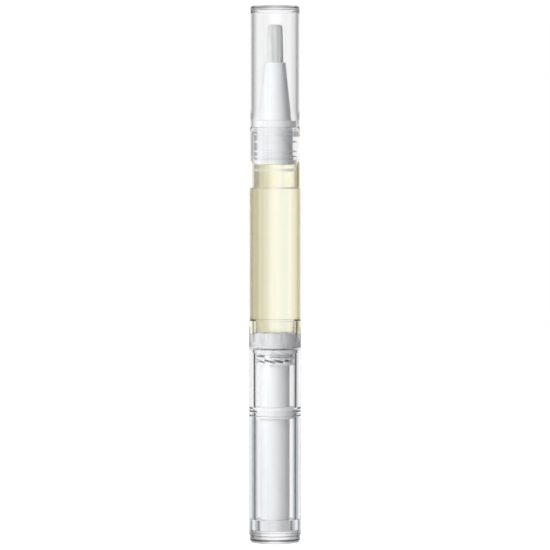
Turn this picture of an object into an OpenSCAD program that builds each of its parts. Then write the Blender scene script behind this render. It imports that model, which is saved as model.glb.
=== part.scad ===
// Clear twist-up nail oil pen, standing on its end plug with its cap on. Millimetres, +Z up.
// The origin is the centre of the base. A knob turns a threaded spindle through a fixed nut,
// and the spindle lifts the piston that feeds oil to the bristles.

/* [Knob and lower tube] */
// Outside diameter of the knob and of the lower tube
tube_d = 13; // [12:0.1:14.5]
// Bore of the knob and of the lower tube
tube_bore_d = 10; // [9.6:0.1:10.6]
// Length of the knob's tube
knob_len = 30.1; // [24:0.1:36]
// Length of the lower tube
lower_len = 23.8; // [20:0.1:30]
// Gap between the knob and the lower tube
turn_gap = 0.2; // [0.1:0.05:0.4]

/* [End plug] */
// Diameter of the plug's foot
plug_d = 12.6; // [12:0.1:13]
// Height of the plug's foot
plug_foot_h = 1.9; // [1.5:0.1:3]
// Length of the plug's stem inside the knob
plug_stem_len = 4.1; // [3:0.1:6]
// Diameter of the dimple under the plug
dimple_d = 3.4; // [2:0.1:5]

/* [Barrel] */
// Outside diameter of the oil reservoir
body_d = 12.82; // [12.2:0.02:13.4]
// Bore of the reservoir, in which the piston runs
bore_d = 8.8; // [8.2:0.1:9.1]
// Length of the reservoir's wide body
body_len = 33.2; // [26:0.1:45]
// Outside diameter of the neck
neck_d = 10.9; // [10.6:0.1:11.3]
// Wall of the neck
neck_wall = 0.75; // [0.65:0.05:0.85]
// Length of the neck
neck_len = 15.3; // [14:0.1:18]
// Length of the spigot that plugs into the lower tube
spigot_len = 7.2; // [6:0.1:9]
// Length of the spigot's wide land
land_len = 4; // [3:0.1:5]

/* [Nozzle] */
// Height of the nozzle's cone
cone_len = 14.6; // [12:0.1:18]
// Diameter of the cone at its base
cone_base_d = 8.3; // [7.6:0.1:9]
// Diameter of the cone at its tip
cone_tip_d = 5.3; // [5:0.1:5.8]
// Thickness of the flange that sits on the neck
flange_h = 1.7; // [1.2:0.1:2]
// Length of the ribbed stem in the neck
stem_len = 9.2; // [8:0.1:10.5]
// Wall of the nozzle's moulding
nozzle_wall = 1.1; // [0.9:0.05:1.3]

/* [Brush] */
// Diameter of the bristle bundle where it leaves the nozzle
brush_d = 4.15; // [3.6:0.05:4.4]
// Length of the bristles beyond the nozzle
brush_len = 9.45; // [8:0.1:12]
// Distance from one bristle to the next
strand_pitch = 0.19; // [0.18:0.005:0.21]
// Thickness of one bristle across its corners
strand_d = 0.15; // [0.12:0.01:0.16]

/* [Cap] */
// Outside diameter of the cap above its snap ring
cap_d = 12.3; // [12:0.1:13]
// Wall of the cap above its snap ring
cap_wall = 0.74; // [0.6:0.02:0.9]
// Thickness of the cap's top
cap_top_t = 0.75; // [0.6:0.05:2]
// Room between the bristles' ends and the cap's ceiling
tip_room = 4; // [2:0.05:6]

/* [Screw drive] */
// Outside diameter of the white drive sleeve
sleeve_d = 7.4; // [7:0.1:7.8]
// Bore of the drive sleeve
sleeve_bore_d = 5.4; // [5:0.1:5.6]
// Diameter of the spindle over its thread
spindle_d = 4.5; // [4:0.1:4.7]
// Thickness of the spindle across its flats
flats_w = 3.2; // [2.8:0.1:3.6]
// Length of the piston
piston_len = 3.7; // [3.4:0.1:4.5]

/* [Ratchet] */
// Teeth on each ratchet crown
tooth_count = 12; // [8:1:12]
// Height of a ratchet tooth
tooth_h = 0.5; // [0.3:0.05:0.7]
// Thickness of the click ring
ring_t = 0.5; // [0.4:0.05:0.8]

/* [Hidden] */
$fn = 96;
eps = 0.01;
overrun = 1;
round_steps = 5;

// Gaps between pieces: pressed together, running in a bore, and seated end to end
press_gap = 0.02;
run_gap = 0.08;
seat_gap = 0.05;
// Small rounds and chamfers
edge = 0.15;
cap_round = 0.6;
ceiling_round = 1.2;
foot_round = 0.6;

// Radii
tube_r = tube_d / 2;
tube_bore_r = tube_bore_d / 2;
body_r = body_d / 2;
bore_r = bore_d / 2;
neck_r = neck_d / 2;
neck_bore_r = neck_r - neck_wall;
sleeve_r = sleeve_d / 2;
sleeve_bore_r = sleeve_bore_d / 2;
spindle_r = spindle_d / 2;
brush_r = brush_d / 2;

// Heights of the main joints, from the base up
knob_z0 = plug_foot_h;
knob_z1 = knob_z0 + knob_len;
lower_z0 = knob_z1 + turn_gap;
lower_z1 = lower_z0 + lower_len;
shoulder_z = lower_z1 + body_len;
neck_z1 = shoulder_z + neck_len;
flange_z1 = neck_z1 + flange_h;
cone_z1 = flange_z1 + cone_len;
tip_z = cone_z1 + brush_len;
ceiling_z = tip_z + tip_room;
cap_z1 = ceiling_z + cap_top_t;

// Plug socket for the sleeve's end
socket_floor_t = 1.1;
socket_floor_z = plug_foot_h + socket_floor_t;
dimple_h = 0.3;

// Spigot, land and the counterbore that takes them
land_step = 0.35;
counterbore_r = tube_bore_r + land_step;
land_r = counterbore_r - press_gap;
spigot_relief = 0.41;
spigot_r = land_r - spigot_relief;
spigot_z0 = lower_z1 - spigot_len;
land_z1 = spigot_z0 + land_len;

// Nut insert, trapped between the spigot's end and the counterbore's step
nut_flange_h = 0.8;
nut_skirt_h = 0.45;
nut_skirt_gap = 0.14;
nut_z1 = spigot_z0 - seat_gap;
nut_seat_z = nut_z1 - nut_flange_h;
nut_face_z = nut_seat_z - nut_skirt_h;
nut_bore_gap = 0.05;
hub_wall = 0.85;
hub_r = spindle_r + nut_bore_gap + hub_wall;
spline_h = 0.3;
spline_w = 0.7;
spline_count = 4;
ring_gap = 0.1;

// Click ring: spring fingers above, saw teeth below
finger_t = 0.25;
finger_slot = 0.25;
finger_count = 3;
finger_angle = 78;
finger_post_angle = 14;
ring_z1 = nut_face_z - seat_gap - finger_t - finger_slot;
ring_z0 = ring_z1 - ring_t;
ring_tip_z = ring_z0 - tooth_h;
tip_gap = 0.1;
crown_z = ring_tip_z - tip_gap - tooth_h;
crown_t = 0.4;
hub_z0 = crown_z + tooth_h + ring_gap;
ring_bore_r = hub_r + ring_gap;
ring_r = tube_bore_r - 2 * ring_gap;
tooth_r0 = ring_bore_r + spline_h + ring_gap;
tooth_r1 = ring_r - ring_gap;
tooth_root_h = 0.25;
tooth_pitch_share = 0.87;
tooth_w = tooth_pitch_share * 2 * tooth_r0 * sin(180 / tooth_count);
flank_gap_angle = 1.2;

// Sleeve: key slot at the top, collar in the knob, journal and snap bead in the lower tube
key_len = 4;
key_gap = 0.06;
collar_h = 0.6;
journal_h = 2.1;
bead_out = 0.5;
bead_h = 0.6;
bead_rise = 1.15;
bead_z = lower_z0 + bead_rise;
bead_gap = 0.1;
crown_r = tooth_r1 + ring_gap;

// Spindle and its snap head in the piston
spindle_end_gap = 0.6;
spindle_z0 = socket_floor_z + spindle_end_gap;
piston_inset = 0.3;
piston_z0 = spigot_z0 + piston_inset;
piston_z1 = piston_z0 + piston_len;
neck_pin_r = 1.1;
head_r = 1.7;
head_h = 1;
head_room = 0.1;
head_rise = 1.4;
head_z0 = piston_z0 + head_rise;
wipe_gap = 0.04;
piston_dish_h = 0.4;
piston_dish_r = 2.6;

// Neck: step from the reservoir's bore to the nozzle's seat, and the bead that grips the cap
stem_z0 = neck_z1 - stem_len;
seat_depth = 1.4;
seat_step_z1 = stem_z0 - seat_depth;
seat_step_h = 0.8;
seat_step_z0 = seat_step_z1 - seat_step_h;
neck_bead_out = 0.11;
neck_bead_h = 1;
neck_bead_drop = 1.7;
neck_bead_z = neck_z1 - neck_bead_drop;
oil_gap = 0.02;

// Nozzle: ribs at shares of the stem's length, measured from its lower end
rib_shares = [0.13, 0.21, 0.35, 0.61, 0.83];
rib_out = 0.105;
rib_h = 0.35;
rib_r = neck_bore_r - press_gap;
stem_r = rib_r - rib_out;
lead_h = 1.1;
flange_inset = 0.12;
flange_r = neck_r - flange_inset;
socket_depth = 3.6;
web_t = 1.4;
brush_socket_r = brush_r + press_gap;
socket_z0 = cone_z1 - socket_depth;
feed_r = 0.95;
feed_bore_r = 0.5;
feed_hole_r = feed_r + press_gap;
feed_drop = 5;
feed_z0 = neck_z1 - feed_drop;
feed_inset = 0.7;
feed_z1 = cone_z1 - feed_inset;

// Bristles: they lean in a little and the bundle's end is domed
strand_sides = 4;
root_depth = 0.2;
tip_width_share = 0.89;
dome_drop = 0.5;
dome_power = 6;
butt_z0 = socket_z0 + seat_gap;
butt_z1 = cone_z1 + seat_gap;

// Cap: wider mouth below the snap ring
cap_r = cap_d / 2;
cap_bore_r = cap_r - cap_wall;
cap_gap = 0.1;
cap_fit_gap = 0.06;
cap_z0 = shoulder_z + cap_gap;
mouth_bore_r = neck_r + neck_bead_out + cap_fit_gap;
mouth_out = 0.1;
mouth_r = cap_r + mouth_out;
snap_ring_out = 0.08;
snap_ring_r = mouth_r + snap_ring_out;
snap_ring_rise = 0.15;
snap_ring_z1 = neck_z1 + snap_ring_rise;
snap_ring_h = 1.9;
snap_slope = 0.5;
mouth_taper_rise = 0.3;
mouth_bore_z1 = flange_z1 + mouth_taper_rise;
mouth_taper_h = 2;

// Points of an arc about centre c, from one angle to another
function arc(c, r, from, to) =
    [for (i = [0 : round_steps]) let (a = from + (to - from) * i / round_steps) c + r * [cos(a), sin(a)]];

// Ring or disc between two heights
module ring(outer, inner, z0, z1) {
    translate([0, 0, z0]) difference() {
        cylinder(r = outer, h = z1 - z0);
        if (inner > 0) translate([0, 0, -overrun]) cylinder(r = inner, h = z1 - z0 + 2 * overrun);
    }
}

// Round bar with two flats, as thick as width across them
module flatted_bar(r, width, z0, z1) {
    translate([0, 0, z0]) intersection() {
        cylinder(r = r, h = z1 - z0);
        translate([-width / 2, -r - overrun, -overrun])
            cube([width, 2 * (r + overrun), z1 - z0 + 2 * overrun]);
    }
}

// Saw teeth that point up. Each has an upright flank on its trailing side and a ramp on its leading side.
module saw_teeth() {
    intersection() {
        for (i = [0 : tooth_count - 1]) rotate([0, 0, i * 360 / tooth_count])
            translate([tooth_r0, 0, 0]) rotate([90, 0, 90])
                linear_extrude(height = tooth_r1 - tooth_r0)
                    polygon([[0, -tooth_root_h], [tooth_w, -tooth_root_h], [tooth_w, 0], [0, tooth_h]]);
        translate([0, 0, -tooth_root_h - overrun])
            cylinder(r = tooth_r1, h = tooth_root_h + tooth_h + 2 * overrun);
    }
}

// Solid foot and hollow stem that closes the knob and centres the sleeve
module end_plug() {
    stem_r = tube_bore_r - press_gap;
    stem_z1 = plug_foot_h + plug_stem_len;
    socket_r = sleeve_r + press_gap;
    foot_r = plug_d / 2;
    color([0.93, 0.94, 0.95, 0.5]) rotate_extrude() polygon(concat(
        [[0, dimple_h], [dimple_d / 2 - dimple_h, dimple_h], [dimple_d / 2, 0]],
        arc([foot_r - foot_round, foot_round], foot_round, -90, 0),
        [[foot_r, plug_foot_h], [stem_r, plug_foot_h], [stem_r, stem_z1 - edge], [stem_r - edge, stem_z1],
            [socket_r + edge, stem_z1], [socket_r, stem_z1 - edge], [socket_r, socket_floor_z],
            [0, socket_floor_z]]));
}

// Clear tube that the fingers turn
module knob() {
    color([0.93, 0.94, 0.95, 0.5]) rotate_extrude() polygon([
        [tube_bore_r + edge, knob_z0], [tube_r - edge, knob_z0], [tube_r, knob_z0 + edge],
        [tube_r, knob_z1 - edge], [tube_r - edge, knob_z1], [tube_bore_r, knob_z1],
        [tube_bore_r, knob_z0 + edge]]);
}

// White tube fixed in the knob. Its top has the key slot for the spindle and the lower ratchet crown.
module drive_sleeve() {
    collar_r = tube_bore_r - press_gap;
    journal_r = tube_bore_r - run_gap;
    bead_r = tube_bore_r + bead_out;
    collar_z0 = knob_z1 - collar_h;
    journal_z1 = lower_z0 + journal_h;
    sleeve_z0 = socket_floor_z + seat_gap;
    color("white") difference() {
        union() {
            rotate_extrude() polygon([
                [0, sleeve_z0], [sleeve_r - edge, sleeve_z0], [sleeve_r, sleeve_z0 + edge],
                [sleeve_r, collar_z0], [collar_r - edge, collar_z0], [collar_r, collar_z0 + edge],
                [collar_r, knob_z1], [journal_r, knob_z1], [journal_r, bead_z],
                [bead_r, bead_z + bead_h / 4], [bead_r, bead_z + bead_h / 2], [journal_r, bead_z + bead_h],
                [journal_r, journal_z1 - edge], [journal_r - edge, journal_z1], [sleeve_r, journal_z1],
                [sleeve_r, crown_z - crown_t], [crown_r, crown_z - crown_t],
                [crown_r, crown_z], [0, crown_z]]);
            translate([0, 0, crown_z]) saw_teeth();
        }
        translate([0, 0, sleeve_z0 - overrun])
            cylinder(r = sleeve_bore_r, h = crown_z - key_len - sleeve_z0 + overrun);
        flatted_bar(sleeve_bore_r, flats_w + 2 * key_gap, crown_z - key_len - eps, crown_z + overrun);
    }
}

// Fixed clear tube between the knob and the reservoir
module lower_tube() {
    groove_r = tube_bore_r + bead_out + bead_gap;
    color([0.93, 0.94, 0.95, 0.5]) rotate_extrude() polygon([
        [tube_bore_r, lower_z0], [tube_r - edge, lower_z0], [tube_r, lower_z0 + edge],
        [tube_r, lower_z1 - edge], [tube_r - edge, lower_z1], [counterbore_r, lower_z1],
        [counterbore_r, nut_seat_z], [tube_bore_r, nut_seat_z],
        [tube_bore_r, bead_z + bead_h + bead_gap], [groove_r, bead_z + bead_h / 2 + bead_gap],
        [groove_r, bead_z + bead_h / 4 - bead_gap], [tube_bore_r, bead_z - bead_gap]]);
}

// Ring of the one-way clutch. It is splined to the nut's hub, clicks over the sleeve's crown,
// and is pressed down by the spring fingers on its back.
module click_ring() {
    finger_r0 = tooth_r0;
    finger_r1 = tooth_r1;
    finger_z0 = ring_z1 + finger_slot;
    color("whitesmoke") {
        difference() {
            ring(ring_r, ring_bore_r, ring_z0, ring_z1);
            for (i = [0 : spline_count - 1]) rotate([0, 0, i * 360 / spline_count])
                translate([0, -spline_w / 2 - ring_gap, ring_z0 - overrun])
                    cube([ring_bore_r + spline_h, spline_w + 2 * ring_gap, ring_t + 2 * overrun]);
        }
        translate([0, 0, ring_z0]) rotate([180, 0, -flank_gap_angle]) saw_teeth();
        for (i = [0 : finger_count - 1]) rotate([0, 0, i * 360 / finger_count]) {
            translate([0, 0, finger_z0]) rotate_extrude(angle = finger_angle)
                translate([finger_r0, 0]) square([finger_r1 - finger_r0, finger_t]);
            translate([0, 0, ring_z1 - eps]) rotate_extrude(angle = finger_post_angle)
                translate([finger_r0, 0]) square([finger_r1 - finger_r0, finger_slot + 2 * eps]);
        }
    }
}

// Fixed nut that the spindle screws through
module nut_insert() {
    flange_out = counterbore_r - press_gap;
    skirt_out = tube_bore_r - nut_skirt_gap;
    color("whitesmoke") difference() {
        union() {
            ring(flange_out, 0, nut_seat_z, nut_z1);
            ring(skirt_out, 0, nut_face_z, nut_seat_z + eps);
            ring(hub_r, 0, hub_z0, nut_face_z + eps);
            for (i = [0 : spline_count - 1]) rotate([0, 0, i * 360 / spline_count])
                translate([0, -spline_w / 2, hub_z0])
                    cube([hub_r + spline_h, spline_w, nut_face_z - hub_z0 + eps]);
        }
        translate([0, 0, hub_z0 - overrun])
            cylinder(r = spindle_r + nut_bore_gap, h = nut_z1 - hub_z0 + 2 * overrun);
    }
}

// Lead screw, drawn at its crest diameter, with two flats and a snap head
module spindle() {
    rod_z1 = piston_z0 - 4 * seat_gap;
    head_z1 = head_z0 + head_h;
    color("white") {
        flatted_bar(spindle_r, flats_w, spindle_z0, rod_z1);
        rotate_extrude() polygon([
            [0, rod_z1 - edge], [neck_pin_r, rod_z1 - edge], [neck_pin_r, head_z0],
            [head_r, head_z0], [head_r, head_z1 - edge * 2], [head_r - edge * 2, head_z1], [0, head_z1]]);
    }
}

// Follower piston whose plain wall wipes the bore, with a socket for the spindle's head
module piston() {
    wall_r = bore_r - wipe_gap;
    pocket_r = head_r + head_room;
    color("gainsboro") rotate_extrude() polygon([
        [neck_pin_r + head_room, piston_z0], [wall_r - edge, piston_z0], [wall_r, piston_z0 + edge],
        [wall_r, piston_z1 - edge], [wall_r - edge, piston_z1], [piston_dish_r, piston_z1],
        [piston_dish_r - piston_dish_h, piston_z1 - piston_dish_h], [0, piston_z1 - piston_dish_h],
        [0, head_z0 + head_h + head_room], [pocket_r - edge * 2, head_z0 + head_h + head_room],
        [pocket_r, head_z0 + head_h - edge * 2 + head_room],
        [pocket_r, head_z0 - head_room], [neck_pin_r + head_room, head_z0 - head_room]]);
}

// Clear reservoir: spigot below, wide body, neck with a cap bead above
module barrel() {
    color([0.95, 0.95, 0.93, 0.5]) rotate_extrude() polygon([
        [bore_r, spigot_z0], [land_r - edge, spigot_z0], [land_r, spigot_z0 + edge],
        [land_r, land_z1 - edge], [land_r - edge, land_z1], [spigot_r, land_z1],
        [spigot_r, lower_z1], [body_r - edge, lower_z1], [body_r, lower_z1 + edge],
        [body_r, shoulder_z - edge], [body_r - edge, shoulder_z], [neck_r, shoulder_z],
        [neck_r, neck_bead_z], [neck_r + neck_bead_out, neck_bead_z + neck_bead_h / 4],
        [neck_r + neck_bead_out, neck_bead_z + neck_bead_h * 3 / 4], [neck_r, neck_bead_z + neck_bead_h],
        [neck_r, neck_z1 - edge], [neck_r - edge, neck_z1], [neck_bore_r, neck_z1],
        [neck_bore_r, seat_step_z1], [bore_r, seat_step_z0]]);
}

// Oil that fills the bore from the piston to the nozzle's stem
module oil() {
    oil_z0 = piston_z1 + oil_gap;
    oil_z1 = stem_z0 - oil_gap;
    low_r = bore_r - oil_gap;
    high_r = neck_bore_r - oil_gap;
    color([0.96, 0.93, 0.72]) rotate_extrude() polygon([
        [0, oil_z0], [low_r, oil_z0], [low_r, seat_step_z0], [high_r, seat_step_z1],
        [high_r, oil_z1], [0, oil_z1]]);
}

// White nozzle: ribbed hollow stem, flange, and a cone with a socket for the bristles
module nozzle() {
    base_r = cone_base_d / 2;
    mouth_r = cone_tip_d / 2;
    cavity_z1 = socket_z0 - web_t;
    cavity_share = (cavity_z1 - flange_z1) / cone_len;
    cavity_top_r = base_r + (mouth_r - base_r) * cavity_share - nozzle_wall;
    cavity_low_r = base_r - nozzle_wall;
    bowl_r = stem_r - nozzle_wall;
    color("white") {
        rotate_extrude() polygon([
            [bowl_r, stem_z0], [stem_r - edge, stem_z0], [rib_r, stem_z0 + edge], [rib_r, stem_z0 + lead_h],
            [stem_r, stem_z0 + lead_h], [stem_r, neck_z1 + eps], [flange_r - edge, neck_z1 + eps],
            [flange_r, neck_z1 + edge], [flange_r, flange_z1 - edge], [flange_r - edge, flange_z1],
            [base_r, flange_z1], [mouth_r, cone_z1 - edge], [mouth_r - edge, cone_z1],
            [brush_socket_r, cone_z1], [brush_socket_r, socket_z0], [feed_hole_r, socket_z0],
            [feed_hole_r, cavity_z1], [cavity_top_r, cavity_z1], [cavity_low_r, flange_z1],
            [bowl_r, neck_z1 - nozzle_wall]]);
        for (share = rib_shares) let (z = stem_z0 + share * stem_len)
            rotate_extrude() polygon([
                [stem_r - edge, z - rib_h / 2], [stem_r, z - rib_h / 2], [rib_r, z - rib_h / 6],
                [rib_r, z + rib_h / 6], [stem_r, z + rib_h / 2], [stem_r - edge, z + rib_h / 2]]);
    }
}

// Fine tube that carries oil through the nozzle's web into the bristles' root
module feed_tube() {
    color("lightgray") ring(feed_r, feed_bore_r, feed_z0, feed_z1);
}

// One bristle at distance rho and angle phi from the axis
module strand(rho, phi) {
    share = rho / brush_r;
    lean = atan((1 - tip_width_share) * rho / brush_len);
    length = root_depth + brush_len - seat_gap - dome_drop * pow(share, dome_power);
    rotate([0, 0, phi]) translate([rho, 0, butt_z1 - root_depth]) rotate([0, -lean, 0])
        cylinder(d = strand_d, h = length, $fn = strand_sides);
}

// Bristles on a hexagonal grid, fused to the plug that is pressed into the nozzle
module brush() {
    rows = ceil(brush_r / (strand_pitch * sin(60)));
    reach = brush_r - strand_d;
    well_r = feed_bore_r;
    color("silver") {
        difference() {
            ring(brush_r, well_r, butt_z0, butt_z1);
            translate([0, 0, butt_z0 - overrun])
                cylinder(r = feed_hole_r, h = feed_z1 + seat_gap - butt_z0 + overrun);
        }
        for (j = [-rows : rows], i = [-2 * rows : 2 * rows])
            let (x = (i + j / 2) * strand_pitch, y = j * strand_pitch * sin(60), rho = norm([x, y]))
                if (rho < reach && rho > well_r + strand_d) strand(rho, atan2(y, x));
    }
}

// Clear cap with a snap ring round its mouth section
module cap() {
    color([0.93, 0.94, 0.95, 0.4]) rotate_extrude() polygon(concat(
        [[mouth_bore_r + edge, cap_z0], [mouth_r - edge, cap_z0], [mouth_r, cap_z0 + edge],
            [mouth_r, snap_ring_z1 - snap_ring_h - snap_slope], [snap_ring_r, snap_ring_z1 - snap_ring_h],
            [snap_ring_r, snap_ring_z1 - snap_slope], [cap_r, snap_ring_z1]],
        arc([cap_r - cap_round, cap_z1 - cap_round], cap_round, 0, 90),
        [[0, cap_z1], [0, ceiling_z]],
        arc([cap_bore_r - ceiling_round, ceiling_z - ceiling_round], ceiling_round, 90, 0),
        [[cap_bore_r, mouth_bore_z1 + mouth_taper_h], [mouth_bore_r, mouth_bore_z1],
            [mouth_bore_r, cap_z0 + edge]]));
}

end_plug();
knob();
drive_sleeve();
lower_tube();
click_ring();
nut_insert();
spindle();
piston();
barrel();
oil();
nozzle();
feed_tube();
brush();
cap();
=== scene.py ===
"""Clear twist-up nail oil pen, standing on its end plug with its cap on, in a plain white studio.

Every piece is a surface worked out with numpy around the packed frame. Sizes are in metres, +Z is up
and the pen's axis is the Z axis.
"""
import math

import bpy
import numpy as np
from bpy.props import FloatProperty, FloatVectorProperty, IntProperty, PointerProperty
from bpy.types import Operator, Panel, PropertyGroup
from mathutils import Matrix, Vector


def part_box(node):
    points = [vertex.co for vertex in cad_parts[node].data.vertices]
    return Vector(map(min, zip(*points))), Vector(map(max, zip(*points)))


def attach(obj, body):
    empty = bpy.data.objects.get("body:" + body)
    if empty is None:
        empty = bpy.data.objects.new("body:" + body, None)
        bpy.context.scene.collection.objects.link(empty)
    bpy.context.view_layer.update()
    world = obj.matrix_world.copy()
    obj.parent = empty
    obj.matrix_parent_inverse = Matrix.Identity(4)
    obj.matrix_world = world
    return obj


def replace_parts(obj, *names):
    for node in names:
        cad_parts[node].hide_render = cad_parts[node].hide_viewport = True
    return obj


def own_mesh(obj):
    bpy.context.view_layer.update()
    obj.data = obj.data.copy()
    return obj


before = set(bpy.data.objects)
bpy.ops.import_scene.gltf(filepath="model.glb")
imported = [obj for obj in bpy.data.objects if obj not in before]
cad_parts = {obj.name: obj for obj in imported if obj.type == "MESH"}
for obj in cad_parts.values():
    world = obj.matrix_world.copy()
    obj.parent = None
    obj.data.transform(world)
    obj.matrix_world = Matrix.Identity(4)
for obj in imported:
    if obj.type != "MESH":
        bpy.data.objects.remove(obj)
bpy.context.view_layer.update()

bl_info = {
    "name": "Nail oil pen",
    "version": (1, 0, 0),
    "blender": (4, 5, 0),
    "location": "3D View > Sidebar > Nail oil pen",
    "description": "Builds the visible pieces of a clear twist-up nail oil pen and its studio",
    "category": "Object",
}

TURN = 2 * math.pi
SAME_POINT = 1e-8  # points closer than this are one, in metres
GUARD = 2e-5  # from a corner's round to its guard points, and other unseen steps, in metres
GUARD_SHARE = 0.04  # the most of a short edge that a guard point's distance may take
ROUND_SHARE = 0.45  # the most of an edge that a corner's round may take
CORNER_STEPS = 4  # segments in a corner's round
SHARP_ANGLE = math.radians(40)  # edges sharper than this stay hard
TOOTH_STEP = 0.012  # width of a tooth's upright face, as a share of the teeth's pitch
LEAST_COSINE = 1e-6  # keeps the radius of a flat finite


def length(name, description, default):
    """Property for a size in metres."""
    return FloatProperty(name=name, description=description, default=default, min=0, precision=5,
                         subtype="DISTANCE", unit="LENGTH")


def tint(name, description, default):
    """Property for a colour."""
    return FloatVectorProperty(name=name, description=description, default=default, size=3, min=0, max=1,
                               subtype="COLOR")


def power(name, description, default):
    """Property for a lamp's power in watts."""
    return FloatProperty(name=name, description=description, default=default, min=0, subtype="POWER",
                         unit="POWER")


def share(name, description, default, most=1.0):
    """Property for a plain number."""
    return FloatProperty(name=name, description=description, default=default, min=0, max=most)


class ShellSizes(PropertyGroup):
    """Clear knob, lower tube and end plug"""
    bore: length("Tube bore", "Bore radius of the knob and the lower tube", 0.005)
    counterbore: length(
        "Counterbore", "Radius of the lower tube's upper end, which takes the spigot", 0.00535)
    counterbore_depth: length("Counterbore depth", "Depth of the lower tube's counterbore", 0.00805)
    groove: length("Groove", "Radius of the groove for the snap bead", 0.00511)
    groove_rise: length("Groove height", "Height of the groove's middle above the lower tube's end", 0.00138)
    groove_half: length("Groove half width", "Half of the groove's width at the bore", 0.0006)
    foot_height: length("Foot height", "Height of the end plug's foot", 0.0019)
    foot_round: length("Foot round", "Round of the foot's lower edge", 0.0007)
    socket: length("Socket", "Radius of the end plug's socket for the drive sleeve", 0.00372)
    socket_floor: length("Socket floor", "Height of the socket's floor above the base", 0.0030)
    dimple: length("Dimple", "Radius of the gate dimple under the foot", 0.0017)
    dimple_depth: length("Dimple depth", "Depth of the gate dimple", 0.0003)
    edge: length("Edge round", "Round of the tubes' end edges", 0.00018)
    joint_edge: length("Joint round", "Round of the lower tube's edge under the reservoir", 0.00006)
    gap_fill: length("Gap fill", "How far the knob and the lower tube close up on each other", 0.00007)
    weld: length(
        "Weld overlap", "How far welded plastics run into each other, so that no air film shows", 0.00003)


class BarrelSizes(PropertyGroup):
    """Clear reservoir and its oil"""
    bore: length("Bore", "Radius in which the piston runs", 0.0044)
    neck_bore: length("Neck bore", "Radius of the nozzle's seat in the neck", 0.0047)
    neck: length("Neck", "Outside radius of the neck", 0.00545)
    neck_length: length("Neck length", "Height of the neck above the shoulder", 0.0153)
    bead: length("Cap bead", "Height of the cap bead above the neck's surface", 0.00011)
    bead_drop: length("Bead drop", "Depth of the cap bead's middle below the neck's rim", 0.0012)
    bead_half: length("Bead half width", "Half of the cap bead's width", 0.0005)
    seat_low: length("Seat start", "Depth below the neck's rim where the bore starts to widen", 0.0109)
    seat_high: length("Seat end", "Depth below the neck's rim where the neck bore starts", 0.01055)
    spigot: length("Spigot", "Radius of the spigot's upper part", 0.00492)
    land_height: length("Land height", "Height of the spigot's wide land", 0.004)
    edge: length("Edge round", "Round of the reservoir's outer edges", 0.0002)
    joint_edge: length("Joint round", "Round of the body's edges at the tube and at the cap", 0.00006)
    knurl_depth: length("Knurl depth", "Depth of the grooves along the spigot's wide land", 0.00006)
    knurl_count: IntProperty(name="Knurls", description="Grooves round the spigot's wide land", default=64,
                             min=8)
    wetting: length("Wetting", "How far the oil's surface lies inside the wall it wets", 0.00002)


class CapSizes(PropertyGroup):
    """Clear cap"""
    outside: length("Outside", "Outside radius above the snap ring", 0.00615)
    bore: length("Bore", "Bore radius above the mouth", 0.00541)
    mouth: length("Mouth", "Outside radius of the mouth section", 0.00625)
    mouth_bore: length("Mouth bore", "Bore radius of the mouth section", 0.00562)
    mouth_depth: length("Mouth depth", "Length of the wide bore from the cap's rim", 0.0172)
    taper: length("Taper", "Height over which the bore narrows", 0.002)
    ring_top: length("Snap ring top", "Height of the snap ring's upper edge above the cap's rim", 0.01535)
    ring_height: length("Snap ring height", "Height of the snap ring with its slopes", 0.0024)
    ring_slope: length("Snap ring slope", "Height of each of the snap ring's slopes", 0.0011)
    top: length("Top", "Thickness of the cap's closed end", 0.00095)
    ceiling_round: length("Ceiling round", "Round between the cap's bore and its ceiling", 0.0011)
    top_round: length("Top round", "Round of the cap's upper edge", 0.0008)
    rim_drop: length("Rim drop", "How far the rim comes closer to the shoulder than in the CAD", 0.00009)
    edge: length("Edge round", "Round of the cap's rim", 0.00006)


class NozzleSizes(PropertyGroup):
    """White nozzle with its feed tube"""
    flange_height: length("Flange height", "Thickness of the flange on the neck", 0.0017)
    stem: length("Stem", "Radius of the stem between its ribs", 0.00442)
    rib: length("Rib", "Radius of the ribs, which press a little into the bore", 0.004712)
    rib_half: length("Rib half width", "Half of a rib's width", 0.00034)
    lead_height: length("Lead ring height", "Height of the wide ring at the stem's lower end", 0.0011)
    cone_base: length("Cone base", "Radius of the cone where it leaves the flange", 0.00415)
    cone_tip: length("Cone tip", "Radius of the cone's end", 0.00265)
    wall: length("Wall", "Thickness of the moulding", 0.0011)
    socket: length("Bristle socket", "Radius of the bristles' socket", 0.002095)
    socket_depth: length("Bristle socket depth", "Depth of the bristles' socket", 0.0036)
    web: length("Web", "Thickness of the web under the bristles", 0.0014)
    feed_bore: length("Feed bore", "Bore radius of the feed tube", 0.0005)
    edge: length("Edge round", "Round of the nozzle's edges", 0.0002)


class BrushSizes(PropertyGroup):
    """Bristle bundle"""
    reach: length("Bundle radius", "Radius of the bundle where it leaves the nozzle", 0.00207)
    pitch: length("Bristle pitch", "Distance from one bristle to the next", 0.000088)
    thickness: length("Bristle thickness", "Diameter of one bristle at its root", 0.000086)
    root: length("Root", "Length of the bristles inside the nozzle", 0.0008)
    dome: length("Dome", "How much shorter the outermost bristles are", 0.0005)
    dome_power: FloatProperty(name="Dome power", description="Flatness of the bundle's end", default=7, min=1)
    lean: share("Lean", "Share of its radius that the bundle loses at its end", 0.11)
    spread: length("Spread", "Largest sideways wander of one bristle's end", 0.00003)
    uneven: length("Uneven length", "Largest difference in length between neighbours", 0.00007)
    seed: IntProperty(name="Seed", description="Start of the random draws", default=7, min=0)


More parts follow.
